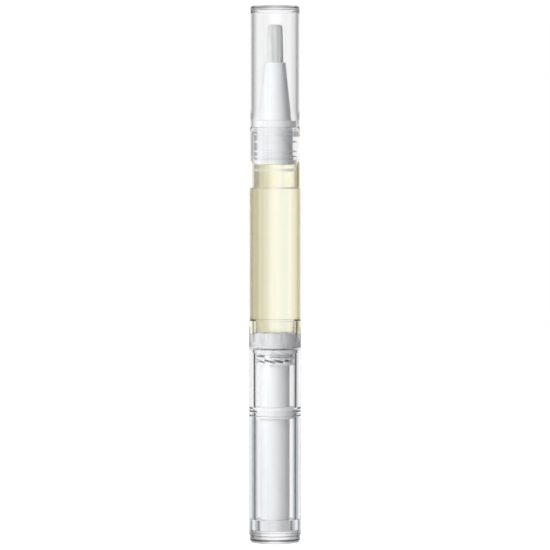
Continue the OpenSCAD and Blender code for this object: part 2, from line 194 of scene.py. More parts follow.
class DriveSizes(PropertyGroup):
    """Drive sleeve, click ring, nut, spindle and piston"""
    sleeve: length("Sleeve", "Outside radius of the drive sleeve", 0.0037)
    sleeve_bore: length("Sleeve bore", "Bore radius of the drive sleeve", 0.0027)
    key_half: length("Key half width", "Half of the key slot's width", 0.00166)
    key_length: length("Key length", "Length of the key slot at the sleeve's top", 0.004)
    collar: length("Collar", "Radius of the sleeve's collar in the knob", 0.00498)
    collar_height: length("Collar height", "Height of the collar", 0.0006)
    journal: length("Journal", "Radius of the sleeve's journal in the lower tube", 0.00492)
    journal_height: length("Journal height", "Height of the journal above the knob", 0.0023)
    bead: length("Snap bead", "Radius of the journal's snap bead", 0.00506)
    bead_share: share("Bead place", "Height of the bead's middle, as a share of the journal's", 0.6)
    bead_half: length("Bead half width", "Half of the width of the bead's flat", 0.0001)
    bead_low: length("Bead start", "Depth of the bead's lower end below its middle", 0.0004)
    bead_high: length("Bead end", "Height of the bead's upper end above its middle", 0.0005)
    crown: length("Crown", "Radius of the crown's flange", 0.0048)
    crown_height: length("Crown height", "Thickness of the crown's flange", 0.0004)
    tooth_inner: length("Tooth inner radius", "Radius where the ratchet teeth start", 0.00365)
    tooth_outer: length("Tooth outer radius", "Radius where the ratchet teeth end", 0.0047)
    tooth_height: length("Tooth height", "Height of a ratchet tooth", 0.0005)
    tooth_count: IntProperty(name="Teeth", description="Teeth on each ratchet crown", default=12, min=6)
    tooth_share: share("Tooth share", "Share of the tooth pitch that a ramp takes", 0.87)
    tooth_lag: FloatProperty(
        name="Tooth lag", description="Turn of the click ring's teeth against the crown's",
        default=math.radians(1.2), subtype="ANGLE", unit="ROTATION")
    ring_bore: length("Click ring bore", "Bore radius of the click ring", 0.00325)
    ring_height: length("Click ring height", "Thickness of the click ring", 0.0005)
    finger_height: length("Finger height", "Thickness of a spring finger and of its slot", 0.00016)
    finger_count: IntProperty(
        name="Fingers", description="Spring fingers on the click ring", default=3, min=2)
    nut_flange: length("Nut flange height", "Thickness of the nut's flange", 0.0008)
    nut_skirt: length("Nut skirt", "Radius of the nut's skirt", 0.00486)
    nut_skirt_height: length("Nut skirt height", "Height of the nut's skirt", 0.00045)
    nut_hub: length("Nut hub", "Radius of the nut's hub", 0.00315)
    nut_play: share("Nut play", "Play of the nut's bore, as a share of the thread's depth", 0.3)
    spline_rise: length("Spline rise", "Height of the hub's splines", 0.0003)
    spline_half: length("Spline half width", "Half of a spline's width", 0.00035)
    spline_count: IntProperty(name="Splines", description="Splines on the nut's hub", default=4, min=2)
    thread: length("Thread", "Crest radius of the spindle's thread", 0.00225)
    thread_depth: length("Thread depth", "Depth of the thread", 0.00035)
    lead: length("Lead", "Travel of the spindle in one turn", 0.002)
    flat_half: length("Flat half width", "Half of the spindle's thickness across its flats", 0.0016)
    pin: length("Pin", "Radius of the spindle's pin", 0.0011)
    head: length("Head", "Radius of the spindle's snap head", 0.0017)
    head_height: length("Head height", "Height of the snap head", 0.001)
    dish: length("Dish", "Radius of the dish in the piston's face", 0.0026)
    dish_depth: length("Dish depth", "Depth of the dish in the piston's face", 0.0004)
    play: length("Play", "Clearance of the snap head in the piston", 0.0001)
    edge: length("Edge round", "Round of the drive's edges", 0.00015)


class Finishes(PropertyGroup):
    """Colours of the pen's materials"""
    clear: tint("Clear plastic", "Tint of the clear shells", (0.998, 0.999, 1.0))
    clear_body: tint("Clear body", "What the body of the clear shells leaves of light", (0.48, 0.46, 0.54))
    clear_density: share("Clear density", "Density of the clear tubes' body, per metre", 10, most=1000)
    cap_density: share("Cap density", "Density of the clear cap's body, per metre", 36, most=1000)
    clear_index: FloatProperty(name="Clear index", description="Refractive index of the clear shells",
                               default=1.58, min=1, max=2)
    clear_shade: tint("Clear shade", "What a clear wall leaves of the lamps' light", (0.97, 0.97, 0.97))
    white: tint("White moulding", "Colour of the nozzle and the drive sleeve", (0.86, 0.875, 0.885))
    natural: tint("Natural moulding", "Colour of the translucent inner mouldings", (0.91, 0.91, 0.925))
    bristle: tint("Bristle", "Colour of the bristles", (0.985, 0.99, 0.99))
    oil: tint("Oil", "Colour that the oil leaves in the light that crosses it", (0.985, 0.975, 0.83))
    oil_index: FloatProperty(name="Oil index", description="Refractive index of the oil", default=1.47,
                             min=1, max=2)


class Studio(PropertyGroup):
    """Camera, lamps, backdrop and floor"""
    camera_distance: length("Camera distance", "Level distance of the camera from the pen's axis", 1.05)
    camera_height: length("Camera height", "Height of the camera above the base", 0.118)
    aim_height: length("Aim height", "Height on the pen's axis that the camera looks at", 0.0674)
    frame_height: length("Frame height", "Height of the picture at the pen's axis", 0.13826)
    floor_radius: length("Floor radius", "Radius of the floor", 0.9)
    floor_thickness: length("Floor thickness", "Thickness of the floor", 0.002)
    lamp_distance: length("Lamp distance", "Level distance of the lamps from the pen's axis", 0.7)
    lamp_height: length("Lamp height", "Height of the lamps' middles above the floor", 0.25)
    lamp_width: length("Lamp width", "Width of each lamp", 0.22)
    lamp_length: length("Lamp length", "Length of each lamp, across its width", 0.46)
    fill_distance: length("Fill distance", "Level distance of the fill lamp from the pen's axis", 0.4)
    fill_height: length("Fill height", "Height of the fill lamp's middle above the floor", 0.75)
    key_power: power("Key power", "Power of the main lamp at the front left", 4.35)
    side_power: power("Side power", "Power of the lamp at the left", 1.1)
    fill_power: power("Fill power", "Power of the fill lamp at the front right", 1.3)
    rear_right_power: power("Rear right power", "Power of the lamp at the back right", 1.6)
    rear_left_power: power("Rear left power", "Power of the lamp at the back left", 0.96)
    backdrop: share("Backdrop", "Brightness of the surroundings in clear plastic", 1.06, most=2)
    ambient: share("Ambient", "Brightness of the surroundings on matt surfaces", 0.03)


GROUPS = {"shells": ShellSizes, "barrel": BarrelSizes, "cap": CapSizes, "nozzle": NozzleSizes,
          "brush": BrushSizes, "drive": DriveSizes, "finishes": Finishes, "studio": Studio}


def sizes(context, *names):
    """The scene's property groups with these names."""
    return [getattr(context.scene, "nailpen_" + name) for name in names]


def span(cad_node):
    """Lowest and highest height of a CAD node and its outer radius."""
    low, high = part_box(cad_node)
    return low.z, high.z, high.x


def even_angles(count):
    """Angles that part a full turn evenly."""
    return np.arange(count) * TURN / count


ROUND_ANGLES = even_angles(256)  # of a turned piece
COARSE_ANGLES = even_angles(64)  # of a small or plain one


def outline(corners, steps=CORNER_STEPS):
    """Closed outline in the radius-height plane with rounded corners.

    corners is a list of (radius, height, round). A corner P with neighbours on its two edges is
    replaced by the curve (1-s)^2 A + 2 s (1-s) P + s^2 B for s from 0 to 1, where A and B lie on the
    edges at the distance round from P. A guard point beyond A and one beyond B keep the smooth
    normals of the straight edges true. Repeated points are dropped.
    """
    table = np.array([(*corner, 0.0)[:3] for corner in corners], float)
    point, reach = table[:, :2], table[:, 2:]
    back, ahead = np.roll(point, 1, 0) - point, np.roll(point, -1, 0) - point
    back_length = np.linalg.norm(back, axis=1, keepdims=True)
    ahead_length = np.linalg.norm(ahead, axis=1, keepdims=True)
    back, ahead = back / back_length, ahead / ahead_length
    reach = np.minimum(reach, ROUND_SHARE * np.minimum(back_length, ahead_length))
    start, end = point + back * reach, point + ahead * reach
    s = np.linspace(0, 1, steps + 1)[None, :, None]
    curve = (1 - s) ** 2 * start[:, None] + 2 * s * (1 - s) * point[:, None] + s ** 2 * end[:, None]
    before = start + back * np.minimum(GUARD, GUARD_SHARE * back_length)
    after = end + ahead * np.minimum(GUARD, GUARD_SHARE * ahead_length)
    rows = np.concatenate([before[:, None], curve, after[:, None]], 1).reshape(-1, 2)
    rows[np.abs(rows[:, 0]) < SAME_POINT, 0] = 0
    on_axis = (rows[:, 0] == 0) & (np.roll(rows[:, 0], 1) == 0) & (np.roll(rows[:, 0], -1) == 0)
    repeated = np.linalg.norm(rows - np.roll(rows, 1, 0), axis=1) < SAME_POINT
    return rows[~on_axis & ~repeated]


def tube_outline(inner, outer, low, high, edge=0.0):
    """Outline of a plain tube between two radii and two heights, or of a rod if inner is 0."""
    return outline([(inner, low, edge), (outer, low, edge), (outer, high, edge), (inner, high, edge)])


def turned(rows, angles=ROUND_ANGLES, rise=None, stretch=None, arc=False):
    """Shell of revolution (points, corner indices, corners per face).

    Point (i, j) is (r cos a, r sin a, z) with r and z from row i of the outline and a the angle j.
    rise and stretch are arrays over (row, angle) that are added to z and to r. A row on the axis is
    one point. An arc is open in the angle and is closed by the outline itself at both of its ends.
    """
    count, turns = len(rows), len(angles)
    radius = np.repeat(rows[:, :1], turns, 1) + (0 if stretch is None else stretch)
    height = np.repeat(rows[:, 1:], turns, 1) + (0 if rise is None else rise)
    points = np.stack([radius * np.cos(angles), radius * np.sin(angles), height], -1)
    pole = rows[:, 0] == 0
    used = np.ones((count, turns), bool)
    used[pole, 1:] = False
    index = np.cumsum(used).reshape(count, turns) - 1
    index[pole] = index[pole, :1]
    steps = turns - 1 if arc else turns
    here, beside = index[:, :steps], np.roll(index, -1, 1)[:, :steps]
    faces = np.stack([here, beside, np.roll(beside, -1, 0), np.roll(here, -1, 0)], -1)
    next_pole = np.roll(pole, -1)
    quads = faces[~pole & ~next_pole].reshape(-1, 4)
    fans = np.concatenate([faces[~pole & next_pole][..., [0, 1, 2]].reshape(-1, 3),
                           faces[pole & ~next_pole][..., [0, 2, 3]].reshape(-1, 3)])
    loops = [quads.ravel(), fans.ravel()]
    totals = [np.full(len(quads), 4), np.full(len(fans), 3)]
    if arc:
        loops += [index[:, 0], index[::-1, -1]]
        totals += [np.full(2, count)]
    return points[used], np.concatenate(loops), np.concatenate(totals)


def shell_mesh(name, shells):
    """Mesh from closed shells, each with its points, its corner indices and its corners per face."""
    offsets = np.cumsum([0] + [len(shell[0]) for shell in shells])
    points = np.concatenate([shell[0] for shell in shells])
    loops = np.concatenate([shell[1] + offset for shell, offset in zip(shells, offsets)])
    totals = np.concatenate([shell[2] for shell in shells])
    mesh = bpy.data.meshes.new(name)
    mesh.vertices.add(len(points))
    mesh.vertices.foreach_set("co", points.astype(np.float32).ravel())
    mesh.loops.add(len(loops))
    mesh.loops.foreach_set("vertex_index", loops.astype(np.int32))
    mesh.polygons.add(len(totals))
    mesh.polygons.foreach_set("loop_start", (np.cumsum(totals) - totals).astype(np.int32))
    mesh.update(calc_edges=True)
    if mesh.validate():
        raise RuntimeError(f"{name} has faces that aren't valid")
    return mesh


def piece(name, shells, material, body, nodes):
    """Object with smooth faces and sharp corners, which rides on its body in place of CAD nodes."""
    mesh = shell_mesh(name, shells)
    mesh.shade_smooth()
    mesh.set_sharp_from_angle(angle=SHARP_ANGLE)
    mesh.materials.append(material)
    made = bpy.data.objects.new(name, mesh)
    bpy.context.scene.collection.objects.link(made)
    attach(made, body)
    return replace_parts(made, *nodes)


def new_group(name, inputs, outputs):
    """Empty shader node group with its sockets, its input node and its output node."""
    tree = bpy.data.node_groups.new(name, "ShaderNodeTree")
    for socket, kind, default in inputs:
        made = tree.interface.new_socket(socket, in_out="INPUT", socket_type=kind)
        made.default_value = default
    for socket, kind in outputs:
        tree.interface.new_socket(socket, in_out="OUTPUT", socket_type=kind)
    return tree, tree.nodes.new("NodeGroupInput"), tree.nodes.new("NodeGroupOutput")


def node(tree, kind, inputs=(), **settings):
    """Shader node with its settings. inputs maps a socket to a value or to the output that feeds it."""
    made = tree.nodes.new(kind)
    for setting, value in settings.items():
        setattr(made, setting, value)
    for socket, value in dict(inputs).items():
        if isinstance(value, bpy.types.NodeSocket):
            tree.links.new(value, made.inputs[socket])
        else:
            made.inputs[socket].default_value = value
    return made


def math_node(tree, operation, first, second=0.0):
    """Output of a Math node."""
    return node(tree, "ShaderNodeMath", {0: first, 1: second}, operation=operation).outputs[0]


def noise(tree, place, scale, detail, roughness=0.5):
    """Output of a Noise node, from 0 to 1."""
    return node(tree, "ShaderNodeTexNoise", {
        "Vector": place, "Scale": scale, "Detail": detail, "Roughness": roughness}).outputs["Fac"]


def mapped(tree, value, results, limits=(0, 1), **settings):
    """Output of a Map Range node that takes the two limits to the two results."""
    return node(tree, "ShaderNodeMapRange", {
        "Value": value, "From Min": limits[0], "From Max": limits[1], "To Min": results[0],
        "To Max": results[1]}, **settings).outputs[0]


def object_place(tree):
    """Output with the place of a point in its piece's own frame."""
    return node(tree, "ShaderNodeTexCoord").outputs["Object"]


def drawn_out(tree, place, squeeze):
    """The place squeezed along the pen, so that a pattern on it runs lengthwise."""
    return node(tree, "ShaderNodeMapping", {"Vector": place, "Scale": (1, 1, squeeze)}).outputs[0]


def moulded_surface():
    """Node group for moulded plastic: flow lines along the pen in its colour, smudges in its
    roughness, and a fine grain for its bump."""
    if "Moulded surface" in bpy.data.node_groups:
        return bpy.data.node_groups["Moulded surface"]
    tree, given, result = new_group(
        "Moulded surface",
        [("Color", "NodeSocketColor", (1, 1, 1, 1)), ("Tone spread", "NodeSocketFloat", 0.03),
         ("Roughness", "NodeSocketFloat", 0.3), ("Roughness spread", "NodeSocketFloat", 0.05),
         ("Flow scale", "NodeSocketFloat", 300.0), ("Grain scale", "NodeSocketFloat", 4000.0)],
        [("Color", "NodeSocketColor"), ("Roughness", "NodeSocketFloat"), ("Height", "NodeSocketFloat")])
    given = given.outputs
    place = object_place(tree)
    lengthwise = drawn_out(tree, place, squeeze=0.12)
    flow = noise(tree, lengthwise, given["Flow scale"], detail=3.0, roughness=0.55)
    smudge = noise(tree, place, given["Flow scale"], detail=5.0, roughness=0.6)
    grain = noise(tree, place, given["Grain scale"], detail=2.0)
    tone = math_node(tree, "MULTIPLY", math_node(tree, "SUBTRACT", flow, 0.5), given["Tone spread"])
    bright = math_node(tree, "ADD", 1.0, tone)
    color = node(tree, "ShaderNodeVectorMath", {0: given["Color"], 1: bright}, operation="MULTIPLY")
    wear = math_node(tree, "MULTIPLY", smudge, given["Roughness spread"])
    tree.links.new(color.outputs[0], result.inputs["Color"])
    tree.links.new(math_node(tree, "ADD", given["Roughness"], wear), result.inputs["Roughness"])
    tree.links.new(grain, result.inputs["Height"])
    return tree


def new_material(name):
    """Empty node material, its node tree and its output node."""
    material = bpy.data.materials.new(name)
    material.use_nodes = True
    material.node_tree.nodes.clear()
    return material, material.node_tree, material.node_tree.nodes.new("ShaderNodeOutputMaterial")


def moulded_shader(tree, color, surface, strength, depth, **constants):
    """Principled shader fed by the moulded surface group. surface holds the group's other inputs,
    strength and depth are the grain's, and constants are sockets set to plain values."""
    group = node(tree, "ShaderNodeGroup", node_tree=moulded_surface())
    group.inputs["Color"].default_value = (*color, 1)
    for socket, value in surface.items():
        group.inputs[socket].default_value = value
    relief = node(tree, "ShaderNodeBump", {"Height": group.outputs["Height"], "Strength": strength,
                                           "Distance": depth})
    shader = node(tree, "ShaderNodeBsdfPrincipled", {
        "Base Color": group.outputs["Color"], "Roughness": group.outputs["Roughness"],
        "Normal": relief.outputs["Normal"]})
    for socket, value in constants.items():
        shader.inputs[socket.replace("_", " ")].default_value = value
    return shader.outputs[0]


def let_lamps_through(tree, shader, color):
    """The shader, with a tinted Transparent one in its place for lamps' rays and for light on its
    way between matt surfaces, so that what is inside the clear plastic is lit."""
    path = node(tree, "ShaderNodeLightPath")
    passing = math_node(tree, "MAXIMUM", path.outputs["Is Shadow Ray"], path.outputs["Is Diffuse Ray"])
    open_shader = node(tree, "ShaderNodeBsdfTransparent", {"Color": (*color, 1)}).outputs[0]
    return node(tree, "ShaderNodeMixShader", {0: passing, 1: shader, 2: open_shader}).outputs[0]


def clear_plastic(name, finishes, density):
    """Clear polished polystyrene with faint flow lines and handling smudges. Its body takes a little
    light, by its density per metre."""
    if name in bpy.data.materials:
        return bpy.data.materials[name]
    material, tree, output = new_material(name)
    shader = moulded_shader(
        tree, finishes.clear, {"Tone spread": 0.02, "Roughness": 0.0, "Roughness spread": 0.012,
                               "Flow scale": 260.0, "Grain scale": 900.0},
        strength=0.04, depth=0.00002, IOR=finishes.clear_index, Transmission_Weight=1.0, Metallic=0.0)
    tree.links.new(let_lamps_through(tree, shader, finishes.clear_shade), output.inputs["Surface"])
    body = node(tree, "ShaderNodeVolumeAbsorption", {"Color": (*finishes.clear_body, 1),
                                                     "Density": density})
    tree.links.new(body.outputs[0], output.inputs["Volume"])
    return material


def shell_plastic(finishes):
    """Clear plastic of the knob, the end plug, the lower tube and the reservoir."""
    return clear_plastic("Clear shell", finishes, finishes.clear_density)


def oil_liquid(finishes, width):
    """Pale yellow oil: a clear liquid whose body takes the blue out of light. The finish's colour is
    what is left after one bore's width. The body's density is the largest loss, -log(channel) over
    the width, and its colour holds each channel's share of it."""
    material, tree, output = new_material("Nail oil")
    shader = moulded_shader(
        tree, (1, 1, 1), {"Tone spread": 0.015, "Roughness": 0.0, "Roughness spread": 0.004,
                          "Flow scale": 180.0, "Grain scale": 500.0},
        strength=0.01, depth=0.00001, IOR=finishes.oil_index, Transmission_Weight=1.0, Metallic=0.0)
    tree.links.new(let_lamps_through(tree, shader, finishes.oil), output.inputs["Surface"])
    losses = [-math.log(channel) / width for channel in finishes.oil]
    body = node(tree, "ShaderNodeVolumeAbsorption", {
        "Color": (*(1 - loss / max(losses) for loss in losses), 1), "Density": max(losses)})
    tree.links.new(body.outputs[0], output.inputs["Volume"])
    return material


def solid_plastic(name, color, surface, strength, depth, **constants):
    """Opaque or milky plastic."""
    if name in bpy.data.materials:
        return bpy.data.materials[name]
    material, tree, output = new_material(name)
    shader = moulded_shader(tree, color, surface, strength, depth, **constants)
    tree.links.new(shader, output.inputs["Surface"])
    return material


def white_plastic(finishes):
    """Satin white polypropylene."""
    return solid_plastic("White moulding", finishes.white,
                         {"Tone spread": 0.03, "Roughness": 0.26, "Roughness spread": 0.12,
                          "Flow scale": 350.0, "Grain scale": 6000.0},
                         strength=0.10, depth=0.00001, IOR=1.49)


def natural_plastic(finishes):
    """Milky natural polypropylene, which lets some light through."""
    return solid_plastic("Natural moulding", finishes.natural,
                         {"Tone spread": 0.9, "Roughness": 0.30, "Roughness spread": 0.12,
                          "Flow scale": 2000.0, "Grain scale": 5000.0},
                         strength=0.10, depth=0.00001, IOR=1.49, Transmission_Weight=0.15)


def bristle_nylon(finishes):
    """Fine white nylon filament: a little light goes through, and each bristle has its own tone."""
    material, tree, output = new_material("Bristle")
    place = drawn_out(tree, object_place(tree), squeeze=0.02)
    strands = noise(tree, place, scale=9000.0, detail=1.0)
    clumps = noise(tree, place, scale=1300.0, detail=1.0)
    tone = math_node(tree, "MULTIPLY", mapped(tree, strands, results=(0.90, 1.10)),
                     mapped(tree, clumps, results=(0.85, 1.02), limits=(0.35, 0.65)))
    color = node(tree, "ShaderNodeVectorMath", {0: tuple(finishes.bristle), 1: tone}, operation="MULTIPLY")
    shader = node(tree, "ShaderNodeBsdfPrincipled", {
        "Base Color": color.outputs[0], "Roughness": 0.35, "IOR": 1.53, "Transmission Weight": 0.15})
    tree.links.new(shader.outputs[0], output.inputs["Surface"])
    return material


class PieceOperator(Operator):
    """Base of the operators that make pieces of the pen"""
    bl_options = {"REGISTER", "UNDO"}


class NAILPEN_OT_knob(PieceOperator):
    """Make the clear knob that the fingers turn"""
    bl_idname = "nailpen.knob"
    bl_label = "Knob"

    def execute(self, context):
        shell, finishes = sizes(context, "shells", "finishes")
        z0, z1, r = span("knob")
        rows = tube_outline(shell.bore, r, z0, z1 + shell.gap_fill, shell.joint_edge)
        piece("Knob", [turned(rows)], shell_plastic(finishes), "knob", ["knob"])
        return {"FINISHED"}


class NAILPEN_OT_end_plug(PieceOperator):
    """Make the clear end plug with its hollow stem"""
    bl_idname = "nailpen.end_plug"
    bl_label = "End plug"

    def execute(self, context):
        shell, finishes = sizes(context, "shells", "finishes")
        z0, z1, r = span("end_plug")
        stem, dimple_z = shell.bore + shell.weld, z0 + shell.dimple_depth
        rows = outline([
            (0, dimple_z), (shell.dimple - shell.dimple_depth, dimple_z, shell.edge),
            (shell.dimple, z0, shell.edge / 2), (r, z0, shell.foot_round),
            (r, shell.foot_height, shell.joint_edge), (stem, shell.foot_height), (stem, z1, shell.edge),
            (shell.socket, z1, shell.edge), (shell.socket, shell.socket_floor, shell.edge),
            (0, shell.socket_floor)])
        piece("End_plug", [turned(rows)], shell_plastic(finishes), "knob", ["end_plug"])
        return {"FINISHED"}


class NAILPEN_OT_lower_tube(PieceOperator):
    """Make the fixed clear tube between the knob and the reservoir"""
    bl_idname = "nailpen.lower_tube"
    bl_label = "Lower tube"

    def execute(self, context):
        shell, finishes = sizes(context, "shells", "finishes")
        z0, z1, r = span("lower_tube")
        end, step = z0 - shell.gap_fill, z1 - shell.counterbore_depth
        groove, flat = z0 + shell.groove_rise, shell.groove_half / 3
        rows = outline([
            (shell.bore, end, shell.joint_edge), (r, end, shell.joint_edge), (r, z1, shell.joint_edge),
            (shell.counterbore, z1 + shell.weld), (shell.counterbore, step),
            (shell.bore, step, shell.joint_edge), (shell.bore, groove + shell.groove_half),
            (shell.groove, groove + flat), (shell.groove, groove - flat),
            (shell.bore, groove - shell.groove_half)])
        piece("Lower_tube", [turned(rows)], shell_plastic(finishes), "holder",
              ["lower_tube"])
        return {"FINISHED"}


class NAILPEN_OT_barrel(PieceOperator):
    """Make the clear reservoir with its neck and its spigot"""
    bl_idname = "nailpen.barrel"
    bl_label = "Reservoir"
    columns_per_groove = 8

    def execute(self, context):
        """The knurl takes depth (1/2 - cos(count a)), held between 0 and depth, off the radius of the
        spigot's wide land."""
        barrel, shell, finishes = sizes(context, "barrel", "shells", "finishes")
        z0, z1, r = span("barrel")
        tube_top = span("lower_tube")[1]
        base, land, shoulder = z0 - shell.weld, z0 + barrel.land_height, z1 - barrel.neck_length
        land_r, bead_r = shell.counterbore + shell.weld, barrel.neck + barrel.bead
        bead_z, flat = z1 - barrel.bead_drop, barrel.bead_half / 2
        rows = outline([
            (barrel.bore, base), (land_r, base), (land_r, land, barrel.edge),
            (barrel.spigot, land, barrel.edge), (barrel.spigot, tube_top),
            (r, tube_top, barrel.joint_edge), (r, shoulder, barrel.joint_edge),
            (barrel.neck, shoulder, barrel.edge / 2), (barrel.neck, bead_z - barrel.bead_half),
            (bead_r, bead_z - flat, flat), (bead_r, bead_z + flat, flat),
            (barrel.neck, bead_z + barrel.bead_half), (barrel.neck, z1, barrel.edge),
            (barrel.neck_bore, z1, barrel.edge / 2), (barrel.neck_bore, z1 - barrel.seat_high, barrel.edge),
            (barrel.bore, z1 - barrel.seat_low, barrel.edge)])
        radius, height = rows[:, :1], rows[:, 1:]
        angles = even_angles(barrel.knurl_count * self.columns_per_groove)
        on_land = (radius > barrel.spigot + SAME_POINT) & (height < land + SAME_POINT) & (height > z0)
        knurl = on_land * barrel.knurl_depth * np.clip(0.5 - np.cos(angles * barrel.knurl_count), 0, 1)
        piece("Reservoir", [turned(rows, angles, stretch=-knurl)], shell_plastic(finishes), "holder",
              ["barrel"])
        return {"FINISHED"}


class NAILPEN_OT_oil(PieceOperator):
    """Make the oil, which wets the reservoir's wall"""
    bl_idname = "nailpen.oil"
    bl_label = "Oil"

    def execute(self, context):
        barrel, drive, finishes = sizes(context, "barrel", "drive", "finishes")
        z0, z1, _ = span("oil")
        rim, dish_z = span("barrel")[1], z0 - drive.dish_depth
        low, high = barrel.bore + barrel.wetting, barrel.neck_bore + barrel.wetting
        rows = outline([
            (0, dish_z), (drive.dish - drive.dish_depth, dish_z), (drive.dish, z0),
            (low, z0, drive.edge / 3), (low, rim - barrel.seat_low, barrel.edge),
            (high, rim - barrel.seat_high, barrel.edge), (high, z1, drive.edge), (0, z1)])
        made = piece("Oil", [turned(rows)], oil_liquid(finishes, 2 * barrel.bore), "holder",
                     ["oil"])
        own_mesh(made)
        return {"FINISHED"}


class NAILPEN_OT_cap(PieceOperator):
    """Make the clear cap with its snap ring"""
    bl_idname = "nailpen.cap"
    bl_label = "Cap"

    def execute(self, context):
        cap, finishes = sizes(context, "cap", "finishes")
        z0, z1, ring = span("cap")
        ring_z1 = z0 + cap.ring_top
        ring_z0 = ring_z1 - cap.ring_height
        rim, mouth, ceiling = z0 - cap.rim_drop, z0 + cap.mouth_depth, z1 - cap.top
        rows = outline([
            (cap.mouth_bore, rim, cap.edge), (cap.mouth, rim, cap.edge), (cap.mouth, ring_z0, cap.edge),
            (ring, ring_z0 + cap.ring_slope, cap.edge), (ring, ring_z1 - cap.ring_slope, cap.edge),
            (cap.outside, ring_z1, cap.edge), (cap.outside, z1, cap.top_round), (0, z1), (0, ceiling),
            (cap.bore, ceiling, cap.ceiling_round), (cap.bore, mouth + cap.taper, cap.taper / 4),
            (cap.mouth_bore, mouth, cap.taper / 4)])
        piece("Cap", [turned(rows)], clear_plastic("Clear cap", finishes, finishes.cap_density), "cap",
              ["cap"])
        return {"FINISHED"}


class NAILPEN_OT_nozzle(PieceOperator):
    """Make the white nozzle with its ribbed stem, and the feed tube through its web"""
    bl_idname = "nailpen.nozzle"
    bl_label = "Nozzle and feed tube"
    rib_shares = (0.13, 0.21, 0.35, 0.61, 0.83)  # heights of the ribs' middles, as shares of the stem
    rib_flat, rib_round = 0.6, 0.2  # shares of a rib's half width that are flat and rounded

    def execute(self, context):
        nozzle, finishes = sizes(context, "nozzle", "finishes")
        z0, z1, flange = span("nozzle")
        rim = span("barrel")[1]
        feed_z0, feed_z1, feed = span("feed_tube")
        lead, flange_top = z0 + nozzle.lead_height, rim + nozzle.flange_height
        bowl = nozzle.stem - nozzle.wall
        socket_z = z1 - nozzle.socket_depth
        web_z = socket_z - nozzle.web
        slope = (nozzle.cone_tip - nozzle.cone_base) / (z1 - flange_top)
        cavity_top = nozzle.cone_base + slope * (web_z - flange_top) - nozzle.wall
        flat, rounding = nozzle.rib_half * self.rib_flat, nozzle.rib_half * self.rib_round
        ribs = []
        for rib_share in self.rib_shares:
            middle = z0 + rib_share * (rim - z0)
            ribs += [(nozzle.stem, middle - nozzle.rib_half), (nozzle.rib, middle - flat, rounding),
                     (nozzle.rib, middle + flat, rounding), (nozzle.stem, middle + nozzle.rib_half)]
        ribs = [corner for corner in ribs if corner[1] > lead]
        rows = outline([
            (bowl, z0, nozzle.edge), (nozzle.rib, z0, nozzle.edge), (nozzle.rib, lead, nozzle.edge / 2),
            (nozzle.stem, lead, nozzle.edge / 4), *ribs, (nozzle.stem, rim, nozzle.edge / 4),
            (flange, rim, nozzle.edge), (flange, flange_top, nozzle.edge),
            (nozzle.cone_base, flange_top, nozzle.edge), (nozzle.cone_tip, z1, nozzle.edge * 1.5),
            (nozzle.socket, z1, nozzle.edge / 2), (nozzle.socket, socket_z), (feed, socket_z),
            (feed, web_z), (cavity_top, web_z), (nozzle.cone_base - nozzle.wall, flange_top),
            (bowl, rim - nozzle.wall)])
        piece("Nozzle", [turned(rows)], white_plastic(finishes), "holder", ["nozzle"])
        tube = tube_outline(nozzle.feed_bore, feed - GUARD, feed_z0, feed_z1, nozzle.edge / 2)
        piece("Feed_tube", [turned(tube, COARSE_ANGLES)], natural_plastic(finishes), "holder",
              ["feed_tube"])
        return {"FINISHED"}


